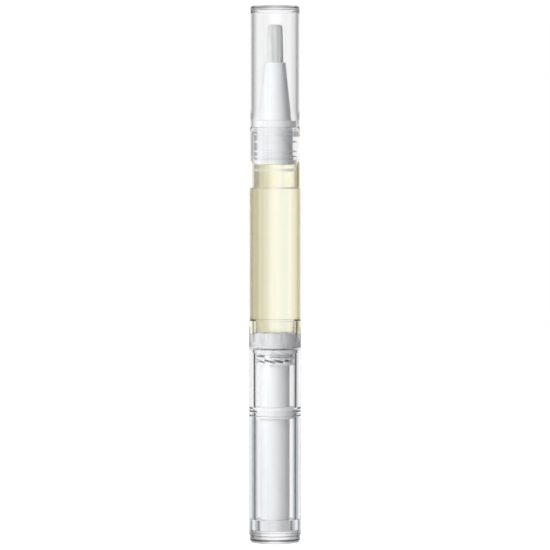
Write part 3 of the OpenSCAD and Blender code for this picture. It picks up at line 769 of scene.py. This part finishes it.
class NAILPEN_OT_brush(PieceOperator):
    """Make the brush: a bundle of fine bristles pressed into the nozzle"""
    bl_idname = "nailpen.brush"
    bl_label = "Brush"
    sides = 5
    scatter = 0.07  # share of the pitch by which a bristle stands off its place in the grid
    ring_heights = (0, 0.35, 0.7, 0.985, 1.0)  # shares of a bristle's length
    ring_widths = (1, 1, 0.97, 0.9, 0.45)  # shares of its thickness

    def execute(self, context):
        """A bristle stands at (x, y) of a hexagonal grid, a little scattered. Its ring at the share t
        of its length has its middle at (x, y) (1 - lean t^2) + wander t^2, its height is root + t
        times the length, and its radius is half the thickness times the ring's width share. The
        outer bristles end lower by dome (rho / reach)^power, with rho their distance from the axis.
        """
        brush, finishes = sizes(context, "brush", "finishes")
        base, tip, _ = span("brush")
        mouth = span("nozzle")[1]
        draw = np.random.default_rng(brush.seed)
        count = int(brush.reach / brush.pitch) + 2
        row, column = np.mgrid[-count - 4:count + 5, -2 * count:2 * count + 1]
        x = (column + row / 2).ravel() * brush.pitch
        y = row.ravel() * brush.pitch * math.sqrt(3) / 2
        scatter = self.scatter * brush.pitch
        x, y = x + draw.normal(0, scatter, x.size), y + draw.normal(0, scatter, y.size)
        rho = np.hypot(x, y)
        kept = rho < brush.reach - brush.thickness / 2
        x, y, rho = x[kept], y[kept], rho[kept]
        strands, rings, sides = x.size, len(self.ring_heights), self.sides
        dome = brush.dome * (rho / brush.reach) ** brush.dome_power
        end = tip - dome - draw.random(strands) * brush.uneven
        t, width = np.array([self.ring_heights, self.ring_widths])[..., None]
        wander = draw.uniform(-1, 1, (2, strands)) * brush.spread * (rho / brush.reach)
        lean, bend = 1 - brush.lean * t ** 2, t ** 2
        height = mouth - brush.root + t * (end - mouth + brush.root)
        radius = (brush.thickness / 2 * width * np.ones(strands))[..., None]
        around = even_angles(sides) + draw.uniform(0, TURN, strands)[:, None]
        points = np.stack([
            (x * lean + wander[0] * bend)[..., None] + radius * np.cos(around),
            (y * lean + wander[1] * bend)[..., None] + radius * np.sin(around),
            np.repeat(height[..., None], sides, -1)], -1).transpose(1, 0, 2, 3).reshape(-1, 3)
        i, j = np.mgrid[0:rings - 1, 0:sides]
        low, high, beside = i * sides, (i + 1) * sides, (j + 1) % sides
        quads = np.stack([low + j, low + beside, high + beside, high + j], -1).reshape(-1, 4)
        lids = np.stack([np.arange(sides)[::-1], np.arange(sides) + (rings - 1) * sides])
        first = np.arange(strands)[:, None, None] * sides * rings
        loops = np.concatenate([(quads + first).ravel(), (lids + first).ravel()])
        totals = np.concatenate([np.full(strands * len(quads), 4), np.full(strands * 2, sides)])
        butt = tube_outline(0, brush.reach + brush.thickness / 2, base, mouth)
        piece("Brush", [(points, loops, totals), turned(butt, COARSE_ANGLES)], bristle_nylon(finishes),
              "holder", ["brush"])
        return {"FINISHED"}


def tooth_angles(drive):
    """Angles of the columns that carry a crown of teeth: both ends of each tooth's upright face, ten
    down its ramp, and two in the gap behind it."""
    local = np.concatenate([[0, TOOTH_STEP], np.linspace(0.05, drive.tooth_share, 10),
                            [drive.tooth_share + TOOTH_STEP, 0.94]])
    return ((np.arange(drive.tooth_count)[:, None] + local) / drive.tooth_count * TURN).ravel()


def tooth_rise(rows, plane, angles, drive):
    """Height of saw teeth over (row, angle), on those rows of the outline that lie in the teeth's
    plane between their two radii. A tooth starts upright and falls evenly over its ramp share."""
    radius, height = rows[:, :1], rows[:, 1:]
    on_teeth = (np.abs(height - plane) < SAME_POINT) & (radius < drive.tooth_outer - GUARD / 2) & (
        radius > drive.tooth_inner + GUARD / 2)
    local = angles * drive.tooth_count / TURN % 1
    fall = drive.tooth_height * (1 - local / drive.tooth_share)
    return on_teeth * np.where((local > TOOTH_STEP / 2) & (local <= drive.tooth_share), fall, 0)


def tooth_band(drive, plane):
    """Corners of the ring that carries the teeth, from the outside in."""
    return [(drive.tooth_outer, plane), (drive.tooth_outer - GUARD, plane),
            (drive.tooth_inner + GUARD, plane), (drive.tooth_inner, plane)]


def flat_radius(half, angles):
    """Radius at which a ray from the axis meets the nearer of two flats: half / |cos a|."""
    return half / np.maximum(np.abs(np.cos(angles)), LEAST_COSINE)


class NAILPEN_OT_drive_sleeve(PieceOperator):
    """Make the white drive sleeve with its collar, snap bead, key slot and ratchet crown"""
    bl_idname = "nailpen.drive_sleeve"
    bl_label = "Drive sleeve"

    def execute(self, context):
        drive, finishes = sizes(context, "drive", "finishes")
        z0, z1, _ = span("drive_sleeve")
        knob_top = span("knob")[1]
        collar_z, journal_z = knob_top - drive.collar_height, knob_top + drive.journal_height
        bead_z = span("lower_tube")[0] + drive.bead_share * drive.journal_height
        crown = z1 - drive.tooth_height
        flange_z, key_z = crown - drive.crown_height, crown - drive.key_length
        rows = outline([
            (drive.sleeve_bore, z0, drive.edge), (drive.sleeve, z0, drive.edge), (drive.sleeve, collar_z),
            (drive.collar, collar_z, drive.edge), (drive.collar, knob_top), (drive.journal, knob_top),
            (drive.journal, bead_z - drive.bead_low), (drive.bead, bead_z - drive.bead_half, drive.edge),
            (drive.bead, bead_z + drive.bead_half, drive.edge), (drive.journal, bead_z + drive.bead_high),
            (drive.journal, journal_z, drive.edge), (drive.sleeve, journal_z, drive.edge),
            (drive.sleeve, flange_z, drive.edge), (drive.crown, flange_z), (drive.crown, crown),
            *tooth_band(drive, crown), (drive.sleeve_bore, crown), (drive.sleeve_bore, key_z),
            (drive.sleeve_bore, key_z - GUARD)])
        angles = tooth_angles(drive)
        in_slot = (np.abs(rows[:, :1] - drive.sleeve_bore) < GUARD / 2) & (rows[:, 1:] > key_z - GUARD / 2)
        slot = np.minimum(drive.sleeve_bore, flat_radius(drive.key_half, angles)) - drive.sleeve_bore
        sleeve = turned(rows, angles, rise=tooth_rise(rows, crown, angles, drive), stretch=in_slot * slot)
        piece("Drive_sleeve", [sleeve], white_plastic(finishes), "knob",
              ["drive_sleeve"])
        return {"FINISHED"}


class NAILPEN_OT_click_ring(PieceOperator):
    """Make the click ring: saw teeth below and three spring fingers on its back"""
    bl_idname = "nailpen.click_ring"
    bl_label = "Click ring"
    finger_turn, finger_steps = math.radians(78), 24
    post_turn, post_steps = math.radians(14), 6

    def execute(self, context):
        drive, finishes = sizes(context, "drive", "finishes")
        z0, z1, r = span("click_ring")
        foot = z0 + drive.tooth_height
        top = foot + drive.ring_height
        slot_z = top + drive.finger_height
        inner, outer = drive.tooth_inner, drive.tooth_outer
        rows = outline([(drive.ring_bore, foot), *tooth_band(drive, foot)[::-1], (r, foot),
                        (r, top, drive.edge), (drive.ring_bore, top)])
        angles = np.sort((-tooth_angles(drive) - drive.tooth_lag) % TURN)
        teeth = tooth_rise(rows, foot, -angles - drive.tooth_lag, drive)
        finger = outline([(inner, slot_z), (outer, slot_z), (outer, z1, drive.edge / 3),
                          (inner, z1, drive.edge / 3)])
        post = tube_outline(inner, outer, top - GUARD, slot_z + GUARD)
        shells = [turned(rows, angles, rise=-teeth)]
        for start in even_angles(drive.finger_count):
            shells += [turned(finger, start + np.linspace(0, self.finger_turn, self.finger_steps), arc=True),
                       turned(post, start + np.linspace(0, self.post_turn, self.post_steps), arc=True)]
        piece("Click_ring", shells, natural_plastic(finishes), "click_ring",
              ["click_ring"])
        return {"FINISHED"}


class NAILPEN_OT_nut(PieceOperator):
    """Make the fixed nut with its splined hub"""
    bl_idname = "nailpen.nut"
    bl_label = "Nut"

    def execute(self, context):
        """A spline stands on the hub wherever the distance along the hub from the middle of the
        nearest spline is under half of a spline's width."""
        drive, shell, finishes = sizes(context, "drive", "shells", "finishes")
        z0, z1, _ = span("nut_insert")
        flange = shell.counterbore - shell.weld
        seat = span("lower_tube")[1] - shell.counterbore_depth - shell.weld
        face = z1 - drive.nut_flange - drive.nut_skirt_height
        bore = drive.thread + drive.nut_play * drive.thread_depth
        rows = outline([
            (bore, z0, drive.edge / 2), (drive.nut_hub, z0, drive.edge),
            (drive.nut_hub, face, drive.edge / 2), (drive.nut_skirt, face, drive.edge),
            (drive.nut_skirt, seat), (flange, seat), (flange, z1, drive.edge / 2),
            (bore, z1, drive.edge / 2)])
        nearest = (ROUND_ANGLES * drive.spline_count / TURN + 0.5) % 1 - 0.5
        on_spline = np.abs(nearest) * TURN / drive.spline_count * drive.nut_hub < drive.spline_half
        on_hub = (np.abs(rows[:, :1] - drive.nut_hub) < drive.edge) & (rows[:, 1:] < face)
        piece("Nut", [turned(rows, stretch=on_hub * on_spline * drive.spline_rise)],
              natural_plastic(finishes), "holder", ["nut_insert"])
        return {"FINISHED"}


class NAILPEN_OT_spindle(PieceOperator):
    """Make the threaded spindle with its two flats and its snap head"""
    bl_idname = "nailpen.spindle"
    bl_label = "Spindle"
    columns, rows_per_turn = 96, 24
    crest_share, flank_share = 0.35, 0.3  # shares of half a pitch

    def execute(self, context):
        """The rod's radius at height z and angle a is the smaller of the flats' and of the thread's:
        half / |cos a|, and crest - depth v. The wave v of z / lead - a / turn is 0 on the crest, 1 in
        the root and eased over the flank. The rod's foot is bevelled over one edge round."""
        drive, finishes = sizes(context, "drive", "finishes")
        z0, z1, _ = span("spindle")
        rod_z1, head_z0, bevel = span("piston")[0] - drive.edge, z1 - drive.head_height, drive.edge * 2
        angles = even_angles(self.columns)
        heights = np.linspace(z0, rod_z1, int((rod_z1 - z0) / drive.lead * self.rows_per_turn))
        wave = np.abs((heights[:, None] / drive.lead - angles / TURN) % 1 - 0.5) * 2
        groove = np.clip((wave - self.crest_share) / self.flank_share, 0, 1)
        thread = drive.thread - drive.thread_depth * (groove ** 2 * (3 - 2 * groove))
        foot = 1 - np.clip((heights - z0) / drive.edge, 0, 1)[:, None]
        radius = np.minimum(thread, flat_radius(drive.flat_half, angles)) - foot * drive.edge
        rows = np.concatenate([
            [(0, z0)], np.stack([np.full(heights.size, drive.thread), heights], 1),
            [(drive.pin, rod_z1), (drive.pin, head_z0), (drive.head, head_z0), (drive.head, z1 - bevel),
             (drive.head - bevel, z1), (0, z1)]])
        stretch = np.zeros((len(rows), self.columns))
        stretch[1:1 + heights.size] = radius - drive.thread
        piece("Spindle", [turned(rows, angles, stretch=stretch)], white_plastic(finishes), "spindle",
              ["spindle"])
        return {"FINISHED"}


class NAILPEN_OT_piston(PieceOperator):
    """Make the follower piston, whose plain wall wipes the bore and whose pocket holds the spindle"""
    bl_idname = "nailpen.piston"
    bl_label = "Piston"

    def execute(self, context):
        drive, barrel, finishes = sizes(context, "drive", "barrel", "finishes")
        z0, z1, _ = span("piston")
        wall, dish_z = barrel.bore + barrel.wetting, z1 - drive.dish_depth
        head_z1 = span("spindle")[1]
        hole, pocket = drive.pin + drive.play, drive.head + drive.play
        pocket_z0, pocket_z1 = head_z1 - drive.head_height - drive.play, head_z1 + drive.play
        rows = outline([
            (hole, z0, drive.edge), (wall, z0, drive.edge), (wall, z1, drive.edge),
            (drive.dish, z1, drive.edge), (drive.dish - drive.dish_depth, dish_z, drive.edge),
            (0, dish_z), (0, pocket_z1), (pocket, pocket_z1, drive.edge), (pocket, pocket_z0),
            (hole, pocket_z0)])
        piece("Piston", [turned(rows)], natural_plastic(finishes), "piston",
              ["piston"])
        return {"FINISHED"}


# What clear and glossy plastic sees round the pen. Each band holds the brightness or the colour at
# some bearings, in degrees from the point behind the pen, positive to the right.
BANDS = {
    "low": {
        -78: 0.8, -70: 0.45, -65: 0.05, -54: 0.05, -51: (0.37, 0.40, 0.43), -33: (0.42, 0.44, 0.46),
        -24: 0.70, -15: 0.95, -8: 1.0, 10: 1.0, 20: 0.93, 30: (0.42, 0.46, 0.49),
        50: (0.35, 0.39, 0.42), 53: 0.05, 65: 0.05, 70: 0.3, 78: 0.7},
    "level": {
        -78: 0.8, -70: (0.46, 0.44, 0.5), -64: (0.07, 0.06, 0.08), -48: (0.08, 0.07, 0.10), -43: 0.88,
        -25: 0.90, -12: 0.98, 0: 1.0, 12: 0.96, 20: 0.87, 28: 0.75, 40: 0.62, 49: (0.08, 0.07, 0.10),
        64: (0.07, 0.06, 0.08), 70: 0.22, 78: 0.7},
    "amber": {
        -78: 0.8, -62: (0.25, 0.21, 0.12), -52: (0.34, 0.27, 0.10), -45: (0.52, 0.44, 0.19),
        -38: (0.86, 0.80, 0.54), -31: (0.98, 0.94, 0.80), -24: (1.0, 0.98, 0.90), -12: (1.0, 1.0, 0.97),
        0: (0.98, 0.97, 0.93), 6: (0.94, 0.92, 0.85), 13: (0.83, 0.79, 0.65), 20: (0.70, 0.66, 0.47),
        28: (0.60, 0.555, 0.37), 38: (0.52, 0.47, 0.27), 46: (0.15, 0.115, 0.04), 54: (0.06, 0.045, 0.015),
        66: (0.2, 0.17, 0.11), 78: 0.7},
    "seat": {
        -78: 0.8, -62: 0.6, -50: 0.5, -40: (0.66, 0.64, 0.52), -35: (1.25, 1.15, 0.86),
        -30: (1.35, 1.3, 1.08), -22: (1.35, 1.33, 1.22), -10: (1.12, 1.12, 1.08), 0: (1.0, 0.97, 0.82),
        8: (0.88, 0.84, 0.64), 15: (0.80, 0.76, 0.56), 24: (0.60, 0.55, 0.36), 29: (0.28, 0.24, 0.09),
        36: (0.20, 0.16, 0.05), 46: (0.24, 0.20, 0.09), 60: 0.4, 78: 0.7},
    "neck": {
        -78: 0.8, -66: 0.34, -60: 0.30, -48: 0.36, -35: 0.40, -27: 0.52, -17: 0.70, -10: 0.88, -4: 0.97,
        0: 1.0, 17: 0.96, 26: 0.92, 46: 0.88, 60: 0.8, 78: 0.8},
    "high": {
        -78: 0.8, -66: 0.34, -60: 0.30, -48: 0.36, -35: 0.40, -27: 0.52, -17: 0.72, -10: 0.90, -4: 0.97,
        0: 1.0, 4: 0.98, 10: 0.92, 17: 0.74, 27: 0.52, 35: 0.40, 48: 0.34, 60: 0.26, 66: 0.3, 78: 0.75},
    "top edge": {-78: (0.80, 0.79, 0.82), 78: (0.80, 0.79, 0.82)},
}
# The first band is the lowest. Each of the others takes over between two steepnesses, in degrees
# above the level.
BAND_EDGES = (("level", -4.75, -4.6), ("amber", -3.58, -3.54), ("seat", -1.57, -1.55),
              ("neck", -1.25, -1.18), ("high", -0.8, -0.7), ("top edge", 0.85, 0.875),
              ("high", 0.93, 0.96))
# The walls beside and behind the camera: low down by the distance of the bearing from the point
# behind the pen, and above WALL_EDGE by the bearing itself
LOW_WALLS = {78: 0.75, 90: 0.97, 114: 0.72, 122: 0.24, 128: 0.65, 136: 0.65, 142: 0.24, 150: 0.72,
             180: 0.9}
HIGH_WALLS = {-180: 0.9, -150: 0.72, -142: 0.24, -136: 0.65, -128: 0.65, -122: 0.24, -114: 0.72,
              -90: 0.97, -78: 0.75, 78: 0.4, 84: 0.15, 115: 0.15, 142: 0.24, 150: 0.72, 180: 0.9}
WALL_EDGE = (-1.6, -1.55)
WALL_START = (77, 79)
# The table takes over below TABLE_EDGE with even stripes, and the ceiling above CEILING_EDGE
TABLE = {step * 22.5: 0.62 if step % 2 else 0.97 for step in range(9)}
TABLE_EDGE = (-7.8, -6.8)
CEILING = (0.90, 0.89, 0.92, 1)
CEILING_EDGE = (12, 30)


def ramp(tree, angle, stops):
    """Colour ramp over an angle in degrees. stops maps an angle to a brightness or to a colour."""
    low, high = min(stops), max(stops)
    made = node(tree, "ShaderNodeValToRGB", {"Fac": mapped(tree, angle, (0, 1), (low, high))})
    made.color_ramp.interpolation = "EASE"
    elements = made.color_ramp.elements
    elements.remove(elements[0])
    for number, (stop, level) in enumerate(sorted(stops.items())):
        place = (stop - low) / (high - low)
        element = elements.new(place) if number else elements[0]
        element.position = place
        element.color = (*(level if isinstance(level, tuple) else (level,) * 3), 1)
    return made.outputs["Color"]


def blended(tree, first, second, angle, limits):
    """Colour that goes smoothly from the first to the second between two limits of an angle."""
    amount = mapped(tree, angle, (0, 1), limits, interpolation_type="SMOOTHSTEP")
    return node(tree, "ShaderNodeMix", {"Factor": amount, "A": first, "B": second},
                data_type="RGBA").outputs["Result"]


class NAILPEN_OT_stage(PieceOperator):
    """Make the camera, the lamps, the surroundings and the floor"""
    bl_idname = "nailpen.stage"
    bl_label = "Studio"
    paper_tone = (0.86, 0.9)  # what the floor's paper throws back, over its grain
    glow, glow_reach = (0.74, 0.95), (0.02, 0.5)  # its glow at two distances from the pen, in metres

    def execute(self, context):
        scene, (studio,) = context.scene, sizes(context, "studio")
        self.camera(scene, studio)
        self.lamps(scene, studio)
        self.surroundings(scene, studio)
        self.floor(scene, studio)
        scene.view_settings.view_transform = "Standard"
        scene.cycles.max_bounces = 32
        scene.cycles.transmission_bounces = 32
        scene.cycles.transparent_max_bounces = 64
        scene.cycles.glossy_bounces = 8
        return {"FINISHED"}

    def camera(self, scene, studio):
        """Camera at the height of the pen's nozzle, looking a little down at the pen's middle."""
        data = bpy.data.cameras.new("Camera")
        data.sensor_fit = "VERTICAL"
        drop = studio.camera_height - studio.aim_height
        reach = math.hypot(studio.camera_distance, drop)
        data.angle = 2 * math.atan(studio.frame_height / 2 / reach)
        data.dof.use_dof = False
        data.clip_start = 0.01
        camera = bpy.data.objects.new("Camera", data)
        camera.location = (0, -studio.camera_distance, studio.camera_height)
        camera.rotation_euler = (math.pi / 2 - math.asin(drop / reach), 0, 0)
        scene.collection.objects.link(camera)
        scene.camera = camera

    def lamps(self, scene, studio):
        """Rectangular lamps aimed at the pen: the main one at the front left, one farther round, a
        steep weak fill at the front right, and two at the back, which the front doesn't see. A
        bearing is in degrees from the camera's side, positive to the right. Clear plastic neither
        shows nor mirrors them."""
        level = studio.lamp_distance, studio.lamp_height
        steep = studio.fill_distance, studio.fill_height
        for name, bearing, watts, color, (distance, height) in (
                ("Key", -34, studio.key_power, (0.99, 1.0, 1.0), level),
                ("Side", -80, studio.side_power, (1.0, 1.0, 1.0), level),
                ("Fill", 40, studio.fill_power, (1.0, 0.99, 1.0), steep),
                ("Rear right", 145, studio.rear_right_power, (1.0, 1.0, 1.0), level),
                ("Rear left", -152, studio.rear_left_power, (1.0, 1.0, 1.0), level)):
            data = bpy.data.lights.new(name, "AREA")
            data.shape = "RECTANGLE"
            data.size, data.size_y = studio.lamp_width, studio.lamp_length
            data.energy = watts
            data.color = color
            turn = math.radians(bearing)
            place = Vector((distance * math.sin(turn), -distance * math.cos(turn), height))
            aim = Vector((0, 0, studio.aim_height)) - place
            lamp = bpy.data.objects.new(name, data)
            lamp.location = place
            lamp.rotation_euler = aim.to_track_quat("-Z", "Y").to_euler()
            lamp.visible_transmission = False
            lamp.visible_glossy = False
            scene.collection.objects.link(lamp)

    def surroundings(self, scene, studio):
        """World by direction. The camera sees plain white. Clear and glossy surfaces see a bright
        backdrop in stacked bands between darker walls, and matt surfaces an even pale light."""
        world = bpy.data.worlds.new("Studio")
        world.use_nodes = True
        scene.world = world
        tree = world.node_tree
        tree.nodes.clear()
        way = node(tree, "ShaderNodeTexCoord").outputs["Generated"]
        x, y, z = node(tree, "ShaderNodeSeparateXYZ", {0: way}).outputs
        compass = math_node(tree, "MULTIPLY", math_node(tree, "ARCTAN2", x, y), 180 / math.pi)
        off_axis = math_node(tree, "ABSOLUTE", compass)
        flat = math_node(tree, "SQRT", math_node(tree, "ADD", math_node(tree, "MULTIPLY", x, x),
                                                 math_node(tree, "MULTIPLY", y, y)))
        steep = math_node(tree, "MULTIPLY", math_node(tree, "ARCTAN2", z, flat), 180 / math.pi)
        bands = {name: ramp(tree, compass, stops) for name, stops in BANDS.items()}
        seen = bands["low"]
        for name, start, end in BAND_EDGES:
            seen = blended(tree, seen, bands[name], steep, (start, end))
        walls = blended(tree, ramp(tree, off_axis, LOW_WALLS), ramp(tree, compass, HIGH_WALLS), steep,
                        WALL_EDGE)
        seen = blended(tree, seen, walls, off_axis, WALL_START)
        seen = blended(tree, ramp(tree, off_axis, TABLE), seen, steep, TABLE_EDGE)
        seen = blended(tree, seen, CEILING, steep, CEILING_EDGE)
        path = node(tree, "ShaderNodeLightPath").outputs
        clear = math_node(tree, "MAXIMUM", path["Is Glossy Ray"], path["Is Transmission Ray"])
        matt, shaped, white = (
            node(tree, "ShaderNodeBackground", {"Color": color, "Strength": strength}).outputs[0]
            for color, strength in (((0.97, 0.985, 1.0, 1), studio.ambient), (seen, studio.backdrop),
                                    ((1, 1, 1, 1), 1.0)))
        lit = node(tree, "ShaderNodeMixShader", {0: clear, 1: matt, 2: shaped}).outputs[0]
        shown = node(tree, "ShaderNodeMixShader", {0: path["Is Camera Ray"], 1: lit, 2: white})
        output = node(tree, "ShaderNodeOutputWorld")
        tree.links.new(shown.outputs[0], output.inputs["Surface"])

    def floor(self, scene, studio):
        """Round white floor with a fine paper grain. To the camera it glows, more so farther from the
        pen, so that it runs into the backdrop's white and only the pen's shadow shows."""
        mesh = shell_mesh("Floor", [turned(np.array([
            [0, -studio.floor_thickness], [studio.floor_radius, -studio.floor_thickness],
            [studio.floor_radius, 0], [0, 0]]), COARSE_ANGLES)])
        mesh.shade_flat()
        floor = bpy.data.objects.new("Floor", mesh)
        scene.collection.objects.link(floor)
        material, tree, output = new_material("Floor")
        place = object_place(tree)
        tone = mapped(tree, noise(tree, place, scale=900.0, detail=4.0), self.paper_tone)
        paper = node(tree, "ShaderNodeCombineColor", {0: tone, 1: tone, 2: tone}).outputs[0]
        matt = node(tree, "ShaderNodeBsdfDiffuse", {"Color": paper})
        away = node(tree, "ShaderNodeVectorMath", {0: place}, operation="LENGTH").outputs["Value"]
        level = mapped(tree, away, self.glow, self.glow_reach)
        to_camera = node(tree, "ShaderNodeLightPath").outputs["Is Camera Ray"]
        glow = node(tree, "ShaderNodeEmission", {
            "Color": (1, 1, 1, 1), "Strength": math_node(tree, "MULTIPLY", level, to_camera)})
        both = node(tree, "ShaderNodeAddShader", {0: matt.outputs[0], 1: glow.outputs[0]})
        tree.links.new(both.outputs[0], output.inputs["Surface"])
        mesh.materials.append(material)
        floor.visible_transmission = False


PIECE_OPERATORS = (
    NAILPEN_OT_stage, NAILPEN_OT_end_plug, NAILPEN_OT_knob, NAILPEN_OT_lower_tube, NAILPEN_OT_barrel,
    NAILPEN_OT_oil, NAILPEN_OT_nozzle, NAILPEN_OT_brush, NAILPEN_OT_drive_sleeve, NAILPEN_OT_click_ring,
    NAILPEN_OT_nut, NAILPEN_OT_spindle, NAILPEN_OT_piston, NAILPEN_OT_cap)


class NAILPEN_PT_panel(Panel):
    """Lists the pen's pieces and their sizes"""
    bl_idname = "NAILPEN_PT_panel"
    bl_label = "Nail oil pen"
    bl_space_type = "VIEW_3D"
    bl_region_type = "UI"
    bl_category = "Nail oil pen"

    def draw(self, context):
        for operator in PIECE_OPERATORS:
            self.layout.operator(operator.bl_idname)
        for key, group in GROUPS.items():
            box = self.layout.box()
            box.label(text=group.__doc__)
            settings = getattr(context.scene, "nailpen_" + key)
            for name in group.__annotations__:
                box.prop(settings, name)


CLASSES = (*GROUPS.values(), *PIECE_OPERATORS, NAILPEN_PT_panel)


def register():
    for made in CLASSES:
        bpy.utils.register_class(made)
    for key, group in GROUPS.items():
        setattr(bpy.types.Scene, "nailpen_" + key, PointerProperty(type=group))


def unregister():
    for key in GROUPS:
        delattr(bpy.types.Scene, "nailpen_" + key)
    for made in reversed(CLASSES):
        bpy.utils.unregister_class(made)


def main():
    """Make the studio and every piece."""
    register()
    for operator in PIECE_OPERATORS:
        category, name = operator.bl_idname.split(".")
        getattr(getattr(bpy.ops, category), name)()


if __name__ == "__main__":
    main()
